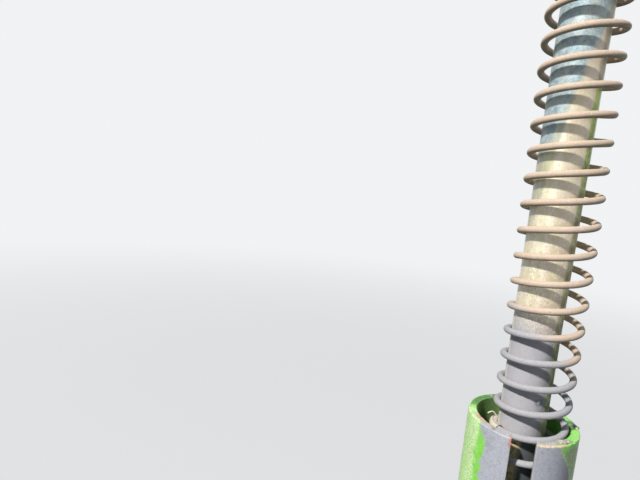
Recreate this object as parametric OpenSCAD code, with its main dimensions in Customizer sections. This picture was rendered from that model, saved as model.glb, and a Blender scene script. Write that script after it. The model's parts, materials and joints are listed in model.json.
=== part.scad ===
// Spring strut for a farm machine: a zinc-plated rod tube carries a long coil spring
// and slides in a slotted guide tube. A forked bracket holds each end on a pin.
// The origin is on the upper bracket's bolt face, the strut hangs along -Z and the
// guide tube's slot faces -Y. Sizes are in millimetres.

/* [Rod tube] */
// Outer diameter of the rod tube
rod_d = 38; // [34:1:40]
// Wall of the rod tube
rod_wall = 4; // [3:0.5:6]
// Rod tube from the upper eye's shoulder to the upper spring seat
rod_head_run = 30; // [24:1:80]

/* [Guide tube] */
// Outer diameter of the guide tube
guide_d = 88.9; // [87:0.1:102]
// Wall of the guide tube
guide_wall = 7.1; // [4:0.1:8]
// Width of the slot in the guide tube
slot_w = 18.5; // [17:0.5:24]
// Lower spring seat below the guide tube's rim
seat_depth = 150; // [80:1:220]
// Room left under the slide block at full travel
end_room = 15; // [8:1:40]
// Room left in the slot under its roller at full travel
slot_room = 6; // [5:1:12]
// Edge break on the guide tube's rim
rim_chamfer = 1; // [0.5:0.1:2]

/* [Travel] */
// Travel of the guide tube along the rod
travel = 150; // [60:1:180]
// Upper spring seat above the guide tube's rim, with the strut at full length
seat_to_rim = 400; // [260:1:520]

/* [Spring] */
// Wire diameter of the spring
wire_d = 5.5; // [4:0.1:5.8]
// Room between the rod tube and the spring, all round
coil_room = 6; // [4:0.1:6.4]
// Turns of the spring, with its closed ends
coil_turns = 27.75; // [16:0.25:32]
// Gap between the closed end turns
closed_gap = 0.3; // [0.2:0.1:1]
// Direction of the wire's lower tip, from +X towards +Y
coil_start = 352; // [0:1:359]
// Direction in which the lower spring leans, from +X towards +Y
coil_lean_dir = 358; // [0:1:359]
// Length over which the lean grows, from the upper seat down
lean_run = 400; // [240:10:520]

/* [Spring seats] */
// Thickness of the upper spring seat's plate
seat_t = 5; // [4:0.5:8]
// Radius of the upper seat's pressed shoulder
seat_shoulder_r = 3.5; // [2:0.5:4]
// Radius in the corner under that shoulder
seat_corner_r = 1.5; // [1:0.5:2]
// Gap between the spring and the upper seat's rim
seat_lip_gap = 2; // [1.5:0.5:3]
// Wall of the upper seat's rim
seat_lip_t = 2.5; // [2:0.5:4]
// Height of the upper seat's rim that holds the spring's end
seat_lip_h = 5; // [3:0.5:8]
// Height of the collar above the upper spring seat
collar_h = 12; // [8:1:18]
// Wall of that collar
collar_wall = 6; // [4:0.5:10]
// Height of the lower spring seat, which also guides the rod tube
lower_seat_h = 32; // [24:1:50]
// Wall of the bush in the lower spring seat
rod_bush_wall = 2.5; // [1.5:0.5:3.5]
// Thickness of that bush's flange
rod_bush_flange_t = 2; // [1.5:0.5:3]
// Reach of that flange beyond the bush
rod_bush_flange_w = 2.5; // [1.5:0.5:3]

/* [Slide block] */
// Height of the slide block on the rod tube's lower end
block_h = 30; // [24:1:40]
// Bolt through the slide block
guide_bolt_d = 10; // [8:2:12]
// Height of that bolt's head
guide_bolt_head_h = 6.4; // [5:0.1:8]
// Width of that bolt's head across its flats
guide_bolt_af = 16; // [13:1:17]
// Reach of the roller beyond the guide tube
roller_proud = 4; // [2:0.5:8]
// Edge break on the slide block
block_chamfer = 1.5; // [0.5:0.1:3]

/* [Eyes] */
// Outer diameter of the eyes
eye_d = 46; // [40:1:52]
// Width of the eyes along the pin
eye_w = 42; // [38:1:50]
// Pin axis to the eye's shoulder
eye_shank_h = 36; // [30:1:60]
// Spigot of the upper eye inside the rod tube
spigot_h = 22; // [12:1:40]
// Wall of the bush in each eye
eye_bush_wall = 4; // [2.5:0.5:6]
// Thickness of the guide tube's end plate
end_plate_t = 8; // [6:1:12]
// Reach of the end plate beyond the guide tube
end_plate_lip = 5; // [3:0.5:10]
// Diameter of the drain hole in the end plate
drain_d = 9; // [6:1:12]
// Thickness of the ribs under the end plate
rib_t = 8; // [5:1:10]

/* [Brackets] */
// Diameter of the pins
pin_d = 20; // [16:1:24]
// Pin axis to the bracket's bolt face
pin_drop = 55; // [48:1:80]
// Length of a bracket's base plate along the pin
base_l = 120; // [110:1:160]
// Width of a bracket's base plate
base_w = 90; // [76:1:120]
// Thickness of a bracket's base plate
base_t = 10; // [8:1:14]
// Corner radius of a base plate
base_r = 12; // [6:1:20]
// Spacing of the bolt holes along the pin
bolt_gap_x = 94; // [90:1:130]
// Spacing of the bolt holes across the pin
bolt_gap_y = 60; // [40:1:80]
// Diameter of the bolt holes
bolt_hole_d = 13.5; // [11:0.5:18]
// Thickness of a bracket's ears
ear_t = 8; // [6:1:12]
// Radius of an ear round its pin
ear_r = 25; // [20:1:32]
// Width of an ear at its base plate
ear_base_w = 72; // [60:1:90]
// Diameter of a pin's head
pin_head_d = 30; // [26:1:36]
// Thickness of a pin's head
pin_head_t = 6; // [4:0.5:9]
// Thickness of a pin's washer
washer_t = 3; // [2:0.5:4]
// Diameter of a pin's washer
washer_d = 37; // [30:1:42]
// Diameter of the split pins
split_pin_d = 5; // [3:0.5:6]
// Washer to the split pin's axis
split_pin_gap = 4; // [3:0.5:8]
// Split pin's axis to the pin's end
pin_tail = 7; // [5:1:12]
// Edge break on a pin's end
pin_chamfer = 1.5; // [0.5:0.1:3]

/* [Edges] */
// Edge break on turned ends and on the end plate
edge_break = 1; // [0.5:0.1:1.4]

/* [Clearances] */
// Radial play of a sliding or turning fit
run_play = 0.05; // [0.02:0.01:0.1]
// Radial play of a fixed piece in its seat
set_play = 0.05; // [0.02:0.01:0.1]
// Gap between the leaning spring and the rod tube
lean_gap = 0.6; // [0.5:0.1:1]
// Gap between the spring's ground ends and their seats
spring_gap = 0.3; // [0.2:0.1:0.5]
// Gap between the slide block and its stop at full length
stop_gap = 0.3; // [0.2:0.1:0.5]
// Side play of the roller in the slot
roller_play = 0.3; // [0.2:0.1:0.6]
// Side play between an eye and an ear
ear_play = 1; // [0.5:0.1:2]

/* [Hidden] */

$fn = 64;
// Cut-outs run past the faces they cut by this much
past = 1;

rod_r = rod_d / 2;
rod_bore_r = rod_r - rod_wall;
guide_r = guide_d / 2;
guide_bore_r = guide_r - guide_wall;
pin_r = pin_d / 2;
ear_gap = eye_w + 2 * ear_play;
ear_out = ear_gap / 2 + ear_t;

// Heights along the strut, from the upper bolt face down
upper_pin_z = -pin_drop;
rod_top_z = upper_pin_z - eye_shank_h;
upper_seat_z = rod_top_z - rod_head_run - seat_t;
rim_z = upper_seat_z - seat_to_rim;
lower_seat_z = rim_z - seat_depth;
stop_z = lower_seat_z - lower_seat_h;
block_z = stop_z - stop_gap;
rod_end_z = block_z - block_h;
bolt_z = block_z - block_h / 2;
roller_r = slot_w / 2 - roller_play;
slot_end_z = bolt_z - travel - roller_r - slot_room + slot_w / 2;
guide_end_z = rod_end_z - travel - end_room;
lower_pin_z = guide_end_z - end_plate_t - eye_shank_h;
lower_face_z = lower_pin_z - pin_drop;

// The spring's wire, as a function of its turns from the lower tip up
wire_r = wire_d / 2;
coil_r = rod_r + coil_room + wire_r;
coil_lean = coil_room - lean_gap;
closed_pitch = wire_d + closed_gap;
ramp_turns = 0.5;
ground = wire_d / 4;
coil_low_z = lower_seat_z + spring_gap;
coil_high_z = upper_seat_z - spring_gap;
coil_rise = coil_high_z - coil_low_z + 2 * ground;
active_pitch = closed_pitch + (coil_rise - closed_pitch * coil_turns) / (coil_turns - 2 - ramp_turns);
wire_sides = 8;
turn_steps = 20;
coil_steps = round(coil_turns * turn_steps);

function open_turns(t) = t < 1 ? 0 : t < 1 + ramp_turns ? pow(t - 1, 2) / (2 * ramp_turns) : t - 1 - ramp_turns / 2;
function rise(t) = closed_pitch * t + (active_pitch - closed_pitch) * open_turns(t);
function wire_z(t) = t < coil_turns / 2
    ? coil_low_z - ground + rise(t)
    : coil_high_z + ground - rise(coil_turns - t);
function lean(z) = coil_lean * pow(sin(90 * min(1, max(0, (coil_high_z - z) / lean_run))), 1.5);
function ring(t) =
    let (z = wire_z(t), turn = coil_start + 360 * t, side = lean(z))
    [for (k = [0:wire_sides - 1])
        let (a = 360 * k / wire_sides, r = coil_r + wire_r * cos(a))
        [
            side * cos(coil_lean_dir) + r * cos(turn),
            side * sin(coil_lean_dir) + r * sin(turn),
            min(coil_high_z, max(coil_low_z, z + wire_r * sin(a)))
        ]];

// Points of an arc round [x, z] from one angle to another
function arc(x, z, r, from, to, steps = 6) =
    [for (i = [0:steps]) let (a = from + (to - from) * i / steps) [x + r * cos(a), z + r * sin(a)]];

// A pipe along Z from z0 up to z1, with an edge break round both outer ends
module pipe(outer_r, inner_r, z0, z1, edge = edge_break) {
    rotate_extrude() polygon([
        [inner_r, z0], [outer_r - edge, z0], [outer_r, z0 + edge],
        [outer_r, z1 - edge], [outer_r - edge, z1], [inner_r, z1]
    ]);
}

// A round bar along X, centred on the strut's axis
module bar_x(r, l) {
    rotate([0, 90, 0]) cylinder(r = r, h = l, center = true);
}

// The same bar with an edge break round both ends
module turned_bar_x(r, l) {
    rotate([0, 90, 0]) rotate_extrude() polygon([
        [0, -l / 2], [r - edge_break, -l / 2], [r, edge_break - l / 2],
        [r, l / 2 - edge_break], [r - edge_break, l / 2], [0, l / 2]
    ]);
}

// A plate with round corners, its top face at z = 0
module round_plate(l, w, t, r) {
    translate([0, 0, -t]) linear_extrude(t) union() {
        square([l - 2 * r, w], center = true);
        square([l, w - 2 * r], center = true);
        for (x = [-1, 1], y = [-1, 1]) translate([x * (l / 2 - r), y * (w / 2 - r)]) circle(r = r);
    }
}

// A base plate with its bolt face at z = 0 and the ears below it
module base_plate() {
    difference() {
        round_plate(base_l, base_w, base_t, base_r);
        for (x = [-1, 1], y = [-1, 1])
            translate([x * bolt_gap_x / 2, y * bolt_gap_y / 2, -base_t - past])
                cylinder(d = bolt_hole_d, h = base_t + 2 * past);
    }
}

// Outline of an ear in the plane across the pin, centred on the pin, the base plate above
module ear_outline() {
    up = pin_drop - base_t;
    half = ear_base_w / 2;
    touch = atan2(up, half) - acos(ear_r / norm([half, up]));
    union() {
        circle(r = ear_r);
        polygon([
            [half, up], [-half, up],
            [-ear_r * cos(touch), ear_r * sin(touch)], [ear_r * cos(touch), ear_r * sin(touch)]
        ]);
    }
}

// An ear on one side of the eye, for a bolt face at z = 0
module ear(side) {
    translate([side * (ear_out - ear_t / 2), 0, -pin_drop]) difference() {
        rotate([90, 0, 90]) linear_extrude(ear_t, center = true) ear_outline();
        bar_x(pin_r + set_play, ear_t + 2 * past);
    }
}

// A pin with its head on the -X side
module pin() {
    tail = ear_out + washer_t + split_pin_gap + pin_tail;
    translate([0, 0, -pin_drop]) difference() {
        rotate([0, 90, 0]) rotate_extrude() polygon([
            [0, -ear_out - pin_head_t], [pin_head_d / 2 - pin_chamfer, -ear_out - pin_head_t],
            [pin_head_d / 2, -ear_out - pin_head_t + pin_chamfer], [pin_head_d / 2, -ear_out],
            [pin_r, -ear_out], [pin_r, tail - pin_chamfer], [pin_r - pin_chamfer, tail], [0, tail]
        ]);
        translate([ear_out + washer_t + split_pin_gap, 0, 0]) rotate([90, 0, 0])
            cylinder(d = split_pin_d + 2 * set_play, h = pin_d + 2 * past, center = true);
    }
}

module washer() {
    translate([ear_out, 0, -pin_drop]) rotate([0, 90, 0])
        pipe(washer_d / 2, pin_r + set_play, 0, washer_t, edge_break / 2);
}

// A split pin through the pin's end: a straight shank and a round loop
module split_pin() {
    loop_r = split_pin_d * 0.9;
    loop_wire = split_pin_d / 4;
    over = pin_r + split_pin_d;
    translate([ear_out + washer_t + split_pin_gap, 0, -pin_drop]) union() {
        rotate([90, 0, 0]) cylinder(d = split_pin_d, h = 2 * over, center = true);
        translate([0, -over - loop_r + loop_wire, 0]) rotate([0, 90, 0])
            rotate_extrude() translate([loop_r, 0]) circle(r = loop_wire);
    }
}

// An eye on a round shank, pin axis at z = 0, its shoulder below at z = -eye_shank_h
module eye() {
    difference() {
        union() {
            turned_bar_x(eye_d / 2, eye_w);
            translate([0, 0, -eye_shank_h]) cylinder(r = rod_r, h = eye_shank_h);
            children();
        }
        bar_x(pin_r + run_play + eye_bush_wall + set_play, eye_w + 2 * past);
    }
}

module eye_bush() {
    difference() {
        bar_x(pin_r + run_play + eye_bush_wall, eye_w);
        bar_x(pin_r + run_play, eye_w + 2 * past);
    }
}

// Turns a piece made for the upper bracket over onto the lower bolt face
module lower_end() {
    translate([0, 0, lower_face_z]) rotate([180, 0, 0]) children();
}

module upper_base_plate() {
    color("olivedrab") base_plate();
}

module upper_ear_left() {
    color("olivedrab") ear(-1);
}

module upper_ear_right() {
    color("olivedrab") ear(1);
}

module upper_pin() {
    color("silver") pin();
}

module upper_washer() {
    color("silver") washer();
}

module upper_split_pin() {
    color("gray") split_pin();
}

module rod_eye() {
    color("lightsteelblue") translate([0, 0, upper_pin_z]) eye()
        translate([0, 0, -eye_shank_h - spigot_h]) cylinder(r = rod_bore_r - set_play, h = eye_shank_h + spigot_h);
}

module rod_eye_bush() {
    color("darkgoldenrod") translate([0, 0, upper_pin_z]) eye_bush();
}

module rod_tube() {
    color("lightsteelblue") difference() {
        pipe(rod_r, rod_bore_r, rod_end_z, rod_top_z);
        translate([0, 0, bolt_z]) rotate([90, 0, 0])
            cylinder(d = guide_bolt_d + 2 * set_play, h = rod_d + 2 * past, center = true);
    }
}

// A pressed plate: over a round shoulder its rim turns down round the spring's end
module upper_seat() {
    inner = coil_r + wire_r + seat_lip_gap;
    outer = inner + seat_lip_t;
    top = upper_seat_z + seat_t;
    color("silver") rotate_extrude() polygon([
        [rod_r + set_play, top], [rod_r + set_play, upper_seat_z],
        each arc(inner - seat_corner_r, upper_seat_z - seat_corner_r, seat_corner_r, 90, 0),
        [inner, upper_seat_z - seat_lip_h], [outer, upper_seat_z - seat_lip_h],
        each arc(outer - seat_shoulder_r, top - seat_shoulder_r, seat_shoulder_r, 0, 90)
    ]);
}

module seat_collar() {
    z0 = upper_seat_z + seat_t;
    color("silver") pipe(rod_r + collar_wall, rod_r + set_play, z0, z0 + collar_h);
}

module coil_spring() {
    rings = [for (i = [0:coil_steps]) ring(i * coil_turns / coil_steps)];
    color("tan") polyhedron(
        points = [for (r = rings) each r],
        faces = concat(
            [[for (k = [0:wire_sides - 1]) k]],
            [for (i = [0:coil_steps - 1], k = [0:wire_sides - 1])
                let (a = i * wire_sides + k, b = i * wire_sides + (k + 1) % wire_sides)
                [a, a + wire_sides, b + wire_sides]],
            [for (i = [0:coil_steps - 1], k = [0:wire_sides - 1])
                let (a = i * wire_sides + k, b = i * wire_sides + (k + 1) % wire_sides)
                [a, b + wire_sides, b]],
            [[for (k = [wire_sides - 1:-1:0]) coil_steps * wire_sides + k]]
        )
    );
}

module slide_block() {
    r = guide_bore_r - run_play;
    color("dimgray") difference() {
        rotate_extrude() polygon([
            [rod_r + set_play, rod_end_z], [r - block_chamfer, rod_end_z], [r, rod_end_z + block_chamfer],
            [r, block_z - block_chamfer], [r - block_chamfer, block_z], [rod_r + set_play, block_z]
        ]);
        translate([0, 0, bolt_z]) rotate([90, 0, 0]) cylinder(d = guide_bolt_d + 2 * set_play, h = guide_d);
        translate([0, 0, bolt_z]) rotate([-90, 0, 0])
            cylinder(d = guide_bolt_d + 2 * set_play, h = guide_bore_r - rod_wall);
    }
}

// A roller on the bolt, between the slide block and the bolt's head
module slot_roller() {
    near = guide_bore_r - run_play;
    color("dimgray") translate([0, 0, bolt_z]) rotate([90, 0, 0])
        pipe(roller_r, guide_bolt_d / 2 + run_play, near, guide_r + roller_proud);
}

// A hexagon bolt whose head has its corners turned off at 30 degrees
module guide_bolt() {
    seat = guide_r + roller_proud;
    face_r = guide_bolt_af / 2;
    corner_r = face_r / cos(30);
    color("silver") translate([0, 0, bolt_z]) rotate([90, 0, 0]) union() {
        translate([0, 0, -rod_r - rod_wall]) cylinder(d = guide_bolt_d, h = rod_r + rod_wall + seat);
        intersection() {
            translate([0, 0, seat]) cylinder(r = corner_r, h = guide_bolt_head_h, $fn = 6);
            rotate_extrude() polygon([
                [0, seat], [corner_r + past, seat],
                [corner_r + past, seat + guide_bolt_head_h - (corner_r + past - face_r) * tan(30)],
                [face_r, seat + guide_bolt_head_h], [0, seat + guide_bolt_head_h]
            ]);
        }
    }
}

module guide_tube() {
    color("forestgreen") difference() {
        rotate_extrude() polygon([
            [guide_bore_r, guide_end_z], [guide_r, guide_end_z], [guide_r, rim_z - rim_chamfer],
            [guide_r - rim_chamfer, rim_z], [guide_bore_r, rim_z]
        ]);
        translate([-slot_w / 2, -guide_r - past, slot_end_z]) cube([slot_w, guide_r + past, rim_z - slot_end_z + past]);
        translate([0, 0, slot_end_z]) rotate([90, 0, 0]) cylinder(d = slot_w, h = guide_r + past);
    }
}

module lower_seat() {
    bush_r = rod_r + run_play + rod_bush_wall + set_play;
    color("forestgreen") rotate_extrude() polygon([
        [bush_r, stop_z], [guide_bore_r - set_play, stop_z], [guide_bore_r - set_play, lower_seat_z],
        [bush_r + rod_bush_flange_w, lower_seat_z], [bush_r + rod_bush_flange_w, lower_seat_z - rod_bush_flange_t],
        [bush_r, lower_seat_z - rod_bush_flange_t]
    ]);
}

module rod_bush() {
    inner = rod_r + run_play;
    outer = inner + rod_bush_wall;
    color("darkgoldenrod") rotate_extrude() polygon([
        [inner, stop_z], [outer, stop_z], [outer, lower_seat_z - rod_bush_flange_t],
        [outer + rod_bush_flange_w, lower_seat_z - rod_bush_flange_t],
        [outer + rod_bush_flange_w, lower_seat_z], [inner, lower_seat_z]
    ]);
}

module end_plate() {
    plate_r = guide_r + end_plate_lip;
    color("forestgreen") difference() {
        rotate_extrude() polygon([
            [0, guide_end_z - end_plate_t], [plate_r - edge_break, guide_end_z - end_plate_t],
            [plate_r, guide_end_z - end_plate_t + edge_break], [plate_r, guide_end_z - edge_break],
            [plate_r - edge_break, guide_end_z], [0, guide_end_z]
        ]);
        translate([guide_bore_r - drain_d, 0, guide_end_z - end_plate_t - past])
            cylinder(d = drain_d, h = end_plate_t + 2 * past);
    }
}

module guide_eye() {
    color("forestgreen") translate([0, 0, lower_pin_z]) rotate([180, 0, 0]) eye();
}

module guide_eye_bush() {
    color("darkgoldenrod") translate([0, 0, lower_pin_z]) eye_bush();
}

// A rib on each side of the lower eye's shank, under the end plate
module guide_ribs() {
    reach = guide_r + end_plate_lip - rib_t;
    top = guide_end_z - end_plate_t;
    color("forestgreen") difference() {
        for (side = [-1, 1])
            translate([-rib_t / 2, 0, 0]) rotate([90, 0, 90]) linear_extrude(rib_t) polygon([
                [side * (rod_r + set_play), top], [side * reach, top], [side * reach, top - rib_t],
                [side * eye_d / 2, lower_pin_z + eye_d / 4], [side * (rod_r + set_play), lower_pin_z + eye_d / 4]
            ]);
        translate([0, 0, lower_pin_z]) bar_x(eye_d / 2 + set_play, eye_w);
    }
}

module lower_base_plate() {
    color("olivedrab") lower_end() base_plate();
}

module lower_ear_left() {
    color("olivedrab") lower_end() ear(-1);
}

module lower_ear_right() {
    color("olivedrab") lower_end() ear(1);
}

module lower_pin() {
    color("silver") lower_end() pin();
}

module lower_washer() {
    color("silver") lower_end() washer();
}

module lower_split_pin() {
    color("gray") lower_end() split_pin();
}

upper_base_plate();
upper_ear_left();
upper_ear_right();
upper_pin();
upper_washer();
upper_split_pin();
rod_eye();
rod_eye_bush();
rod_tube();
upper_seat();
seat_collar();
coil_spring();
slide_block();
slot_roller();
guide_bolt();
guide_tube();
lower_seat();
rod_bush();
end_plate();
guide_eye();
guide_eye_bush();
guide_ribs();
lower_base_plate();
lower_ear_left();
lower_ear_right();
lower_pin();
lower_washer();
lower_split_pin();
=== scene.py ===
"""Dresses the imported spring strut: worn paint, dull zinc, a dusty spring, weld beads and small fasteners.
Everything is in metres, in the strut's own frame: +Z up the strut, the guide tube's slot towards -Y."""
import json
from math import asin, cos, pi, radians, sin, sqrt

import bmesh
import bpy
from mathutils import Matrix, Vector, noise


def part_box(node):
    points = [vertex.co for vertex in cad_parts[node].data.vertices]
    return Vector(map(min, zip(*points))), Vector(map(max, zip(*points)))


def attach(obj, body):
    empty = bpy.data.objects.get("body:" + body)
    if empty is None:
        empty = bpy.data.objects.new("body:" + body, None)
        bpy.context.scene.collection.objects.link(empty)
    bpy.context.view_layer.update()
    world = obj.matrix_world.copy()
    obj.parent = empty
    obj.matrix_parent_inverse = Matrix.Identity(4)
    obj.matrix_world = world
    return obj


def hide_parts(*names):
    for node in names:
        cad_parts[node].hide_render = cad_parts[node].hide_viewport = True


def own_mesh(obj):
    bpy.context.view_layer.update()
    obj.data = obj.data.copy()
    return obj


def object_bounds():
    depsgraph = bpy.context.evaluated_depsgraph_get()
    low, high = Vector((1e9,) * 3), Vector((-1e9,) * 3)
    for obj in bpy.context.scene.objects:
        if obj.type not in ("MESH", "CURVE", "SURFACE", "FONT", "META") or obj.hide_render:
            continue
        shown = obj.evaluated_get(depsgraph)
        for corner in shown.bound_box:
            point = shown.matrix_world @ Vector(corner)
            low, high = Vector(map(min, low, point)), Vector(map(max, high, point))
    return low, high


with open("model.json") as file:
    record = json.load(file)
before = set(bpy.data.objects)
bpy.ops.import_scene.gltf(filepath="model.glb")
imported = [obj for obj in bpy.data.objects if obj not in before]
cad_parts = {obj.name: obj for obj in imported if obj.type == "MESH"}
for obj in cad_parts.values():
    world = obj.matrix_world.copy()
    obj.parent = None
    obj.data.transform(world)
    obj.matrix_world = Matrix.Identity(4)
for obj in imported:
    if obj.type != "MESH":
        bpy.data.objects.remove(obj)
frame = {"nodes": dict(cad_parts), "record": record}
cad_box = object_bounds()

MM = 0.001

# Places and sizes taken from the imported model
RIM_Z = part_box("guide_tube")[1].z
GUIDE_END_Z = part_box("guide_tube")[0].z
GUIDE_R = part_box("guide_tube")[1].x
ROD_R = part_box("rod_tube")[1].x
ROD_TOP_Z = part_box("rod_tube")[1].z
COIL_LOW_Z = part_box("coil_spring")[0].z
COIL_HIGH_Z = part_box("coil_spring")[1].z
UPPER_PIN_Z = 0.5 * (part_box("upper_pin")[0].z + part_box("upper_pin")[1].z)
LOWER_PIN_Z = 0.5 * (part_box("lower_pin")[0].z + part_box("lower_pin")[1].z)

# The spring, as the part's source has it
WIRE_R = 2.75 * MM
COIL_R = 27.75 * MM
COIL_TURNS = 27.75
CLOSED_PITCH = 5.8 * MM
RAMP_TURNS = 0.5
COIL_START = radians(352)
COIL_LEAN = 5.4 * MM
COIL_LEAN_DIR = radians(358)
LEAN_RUN = 400 * MM
WIRE_SIDES = 20
TURN_STEPS = 56

# The guide tube and its slot, as the part's source has them
GUIDE_BORE_R = 37.35 * MM
SLOT_HALF = 9.25 * MM
SLOT_END_Z = -879.0 * MM

# The eyes, the ribs and the brackets, as the part's source has them
EYE_OUTER_R = 23 * MM
RIB_INSET = 8 * MM
EAR_INNER_X = 22 * MM
EAR_OUTER_X = 30 * MM
EAR_HALF_WIDTH = 36 * MM
BASE_THICKNESS = 10 * MM

# Body, slot and material of the beads
ON_ROD = ("rod", "rod_zinc", "weld_zinc")
ON_GUIDE = ("guide", "guide_paint", "guide_plain")

# The photograph's viewpoint, fitted to the tube's edges
VIEWPOINT = Vector((-40.0 * MM, -432.4 * MM, RIM_Z + 190.6 * MM))
RIGHT = Vector((0.9295, 0.3572, 0.0920))
UP = Vector((-0.1339, 0.0943, 0.9865))
LENS_MM = 27.06
SENSOR_MM = 36

FLOOR_Z = cad_box[0].z - 60 * MM
FLOOR_HALF = 9
FLOOR_FADE = (1.3, 4.5)
FLOOR_GLOW = 0.72
FLOOR_SEEN = (0.45, 0.46, 0.47)
FLOOR_LIGHTING = (0.11, 0.12, 0.13)
BACKDROP = (0.88, 0.89, 0.90)
AMBIENT = (0.12, 0.15, 0.175)
# The sun stands 28 degrees to the left and 42 degrees up, by the wire's shadows in the photograph
KEY_DIRECTION = Vector((-0.349, -0.656, 0.669))


def at(turn_deg, radius_mm, above_mm):
    """A point by its angle from the slot, its distance from the axis and its height above the rim."""
    t = radians(turn_deg)
    return Vector((radius_mm * MM * sin(t), -radius_mm * MM * cos(t), RIM_Z + above_mm * MM))


class Graph:
    """The node graph of a material or a world, built with one short call per node."""

    def __init__(self, owner):
        owner.use_nodes = True
        self.nodes = owner.node_tree.nodes
        self.links = owner.node_tree.links

    def put(self, socket, value):
        """Links an output to a socket, or sets the socket to a number or a colour."""
        if isinstance(value, bpy.types.NodeSocket):
            self.links.new(value, socket)
        elif isinstance(value, tuple) and len(value) == 3 and socket.type == "RGBA":
            socket.default_value = (*value, 1)
        else:
            socket.default_value = value

    def math(self, operation, a, b=0.0, clamp=False):
        node = self.nodes.new("ShaderNodeMath")
        node.operation = operation
        node.use_clamp = clamp
        self.put(node.inputs[0], a)
        self.put(node.inputs[1], b)
        return node.outputs[0]

    def vector_math(self, operation, a, b=(0, 0, 0)):
        node = self.nodes.new("ShaderNodeVectorMath")
        node.operation = operation
        self.put(node.inputs[0], a)
        node.inputs[1].default_value = b
        return node.outputs

    def plus(self, a, b):
        return self.math("ADD", a, b)

    def minus(self, a, b):
        return self.math("SUBTRACT", a, b)

    def times(self, first, *factors):
        for factor in factors:
            first = self.math("MULTIPLY", first, factor)
        return first

    def most(self, a, b):
        return self.math("MAXIMUM", a, b)

    def shift(self, value, noise, reach):
        """A value moved up and down by a noise, by up to half the reach."""
        return self.plus(value, self.times(self.minus(noise, 0.5), reach))

    def step(self, value, low, high):
        """0 below low, 1 above high, smooth between. low may be above high."""
        node = self.nodes.new("ShaderNodeMapRange")
        node.interpolation_type = "SMOOTHSTEP"
        self.put(node.inputs["Value"], value)
        if low > high:
            low, high = high, low
            node.inputs["To Min"].default_value = 1
            node.inputs["To Max"].default_value = 0
        node.inputs["From Min"].default_value = low
        node.inputs["From Max"].default_value = high
        return node.outputs["Result"]

    def band(self, value, start, full, end, gone):
        """1 between two edges of a value: one step from start to full, times one from end to gone."""
        return self.times(self.step(value, start, full), self.step(value, end, gone))

    def mix(self, factor, a, b, data_type="RGBA", output_type="RGBA"):
        """A mix of two colours. The node has one output for each data type."""
        node = self.nodes.new("ShaderNodeMix")
        node.data_type = data_type
        node.clamp_factor = True
        for name, value in (("Factor", factor), ("A", a), ("B", b)):
            self.put(node.inputs[name], value)
        return next(o for o in node.outputs if o.type == output_type)

    def tint(self, base, mask, strength, colour):
        """A colour laid over the base, as far as the mask times the strength says."""
        return self.mix(self.times(mask, strength), base, colour)

    def blend(self, factor, a, b):
        """The same mix for two plain numbers."""
        return self.mix(factor, a, b, "FLOAT", "VALUE")

    def stretch(self, vector, scale):
        return self.vector_math("MULTIPLY", vector, scale)[0]

    def axis(self, vector, name):
        node = self.nodes.new("ShaderNodeSeparateXYZ")
        self.put(node.inputs[0], vector)
        return node.outputs[name]

    def seen(self):
        """1 where the camera, a reflection or a refraction sees a surface, 0 where it lights others."""
        path = self.nodes.new("ShaderNodeLightPath").outputs
        total = self.most(path["Is Camera Ray"], path["Is Glossy Ray"])
        return self.most(total, path["Is Transmission Ray"])


class Paint(Graph):
    """A material with its patterns. Heights and sizes are in millimetres, angles in degrees."""

    def __init__(self, name):
        self.material = bpy.data.materials.new(name)
        super().__init__(self.material)
        self.shader = self.nodes["Principled BSDF"]
        coords = self.nodes.new("ShaderNodeTexCoord")
        self.place = coords.outputs["Object"]
        self.normal = coords.outputs["Normal"]

    def noise(self, size, detail, rough=0.7, vector=None, seed=0):
        """Fractal noise from 0 to 1 whose features are about size millimetres across."""
        node = self.nodes.new("ShaderNodeTexNoise")
        node.noise_dimensions = "4D"
        self.put(node.inputs["Vector"], self.place if vector is None else vector)
        scale = 1 / (size * MM)
        for name, value in (("W", seed), ("Scale", scale), ("Detail", detail), ("Roughness", rough)):
            node.inputs[name].default_value = value
        return node.outputs["Fac"]

    def bump(self, height, depth, strength, under=None):
        """A bump depth millimetres deep, over another one where under is given."""
        node = self.nodes.new("ShaderNodeBump")
        node.inputs["Strength"].default_value = strength
        node.inputs["Distance"].default_value = depth * MM
        self.put(node.inputs["Height"], height)
        if under is not None:
            self.put(node.inputs["Normal"], under)
        return node.outputs["Normal"]

    def round_z(self):
        """Angle in degrees round the strut's axis, 0 at the slot and positive towards +X."""
        x = self.axis(self.place, "X")
        turned = self.math("ARCTAN2", x, self.times(self.axis(self.place, "Y"), -1))
        return self.times(turned, 180 / pi)

    def sideways(self, radius):
        """Like round_z near the front, but -60 at the left and 60 at the right, front and back alike."""
        return self.times(self.axis(self.place, "X"), 60 / radius)

    def off_axis(self):
        """Distance from the strut's axis, in millimetres."""
        return self.vector_math("LENGTH", self.stretch(self.place, (1000, 1000, 0)))["Value"]

    def above_rim(self):
        """Height above the guide tube's rim, in millimetres."""
        return self.times(self.minus(self.axis(self.place, "Z"), RIM_Z), 1000)

    def near(self, place, reach):
        """1 at a place, falling to 0 at reach millimetres from it."""
        away = self.vector_math("DISTANCE", self.place, place)["Value"]
        return self.step(away, reach * MM, 0.5 * reach * MM)

    def edge(self, reach):
        """1 on outer edges, falling to 0 at reach millimetres from them."""
        node = self.nodes.new("ShaderNodeAmbientOcclusion")
        node.inside = True
        node.only_local = True
        node.inputs["Distance"].default_value = reach * MM
        return self.step(node.outputs["AO"], 0.95, 0.6)

    def finish(self, colour, roughness, metallic=0.0, normal=None, specular=0.5):
        self.put(self.shader.inputs["Base Color"], colour)
        self.put(self.shader.inputs["Roughness"], roughness)
        self.put(self.shader.inputs["Metallic"], metallic)
        self.shader.inputs["Specular IOR Level"].default_value = specular
        if normal is not None:
            self.put(self.shader.inputs["Normal"], normal)
        return self.material


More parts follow.
